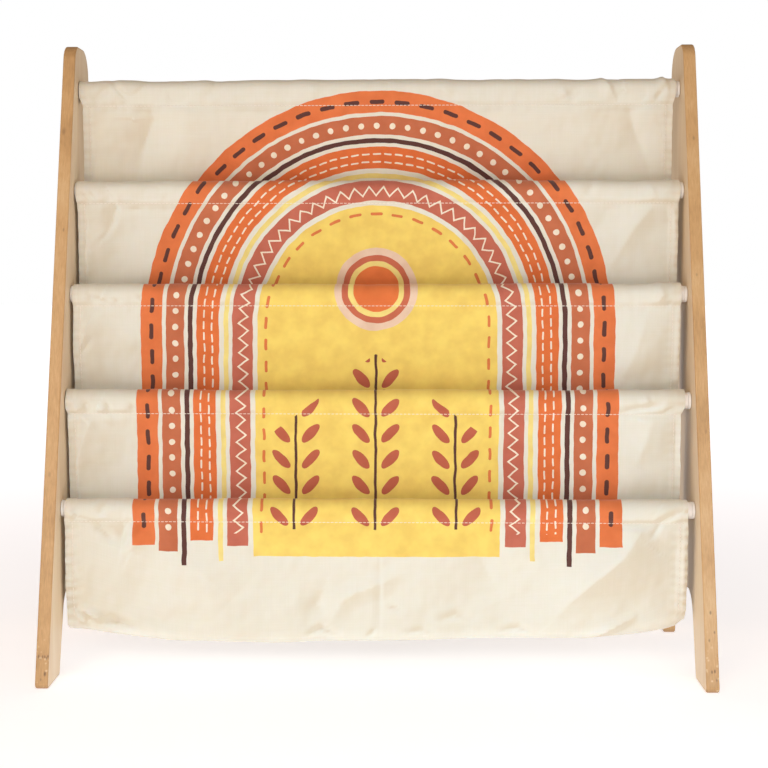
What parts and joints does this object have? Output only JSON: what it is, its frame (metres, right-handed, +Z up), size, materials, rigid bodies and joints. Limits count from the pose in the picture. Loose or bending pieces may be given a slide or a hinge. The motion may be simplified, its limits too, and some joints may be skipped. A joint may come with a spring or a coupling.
{
  "type": "sling bookshelf",
  "caption": "Low child's bookshelf: two tapered side boards joined by rods that carry a canvas sling folded into stepped, forward-facing book pockets.",
  "frame": {"origin": "on the floor, at the centre of the bottom of the whole shelf's bounding box", "axes": "+X from the left side board to the right one as seen from the front, +Y from the front to the back, +Z up; the pockets face -Y"},
  "size_m": [0.62, 0.2878, 0.6],
  "materials": {
    "side_board_wood": "clear satin lacquer on light ply",
    "rod_enamel": "white powder coat, semi-gloss",
    "plug_plastic": "moulded white",
    "screw_steel": "zinc plated",
    "sling_canvas": "cream canvas with a printed picture"
  },
  "bodies": {
    "root": {"side_board_left": "side_board_wood", "side_board_right": "side_board_wood", "rod_1": "rod_enamel", "rod_2": "rod_enamel", "rod_3": "rod_enamel", "rod_4": "rod_enamel", "rod_5": "rod_enamel", "back_rod": "rod_enamel", "rod_1_plug_left": "plug_plastic", "rod_1_plug_right": "plug_plastic", "rod_2_plug_left": "plug_plastic", "rod_2_plug_right": "plug_plastic", "rod_3_plug_left": "plug_plastic", "rod_3_plug_right": "plug_plastic", "rod_4_plug_left": "plug_plastic", "rod_4_plug_right": "plug_plastic", "rod_5_plug_left": "plug_plastic", "rod_5_plug_right": "plug_plastic", "back_rod_plug_left": "plug_plastic", "back_rod_plug_right": "plug_plastic", "rod_1_screw_left": "screw_steel", "rod_1_screw_right": "screw_steel", "rod_2_screw_left": "screw_steel", "rod_2_screw_right": "screw_steel", "rod_3_screw_left": "screw_steel", "rod_3_screw_right": "screw_steel", "rod_4_screw_left": "screw_steel", "rod_4_screw_right": "screw_steel", "rod_5_screw_left": "screw_steel", "rod_5_screw_right": "screw_steel", "back_rod_screw_left": "screw_steel", "back_rod_screw_right": "screw_steel", "sling_sleeve_1": "sling_canvas", "sling_sleeve_2": "sling_canvas", "sling_sleeve_3": "sling_canvas", "sling_sleeve_4": "sling_canvas", "sling_sleeve_5": "sling_canvas", "sling_pocket_1_back": "sling_canvas", "sling_pocket_1_fold": "sling_canvas", "sling_pocket_1_front": "sling_canvas", "sling_pocket_2_back": "sling_canvas", "sling_pocket_2_fold": "sling_canvas", "sling_pocket_2_front": "sling_canvas", "sling_pocket_3_back": "sling_canvas", "sling_pocket_3_fold": "sling_canvas", "sling_pocket_3_front": "sling_canvas", "sling_pocket_4_back": "sling_canvas", "sling_pocket_4_fold": "sling_canvas", "sling_pocket_4_front": "sling_canvas"}
  },
  "joints": []
}
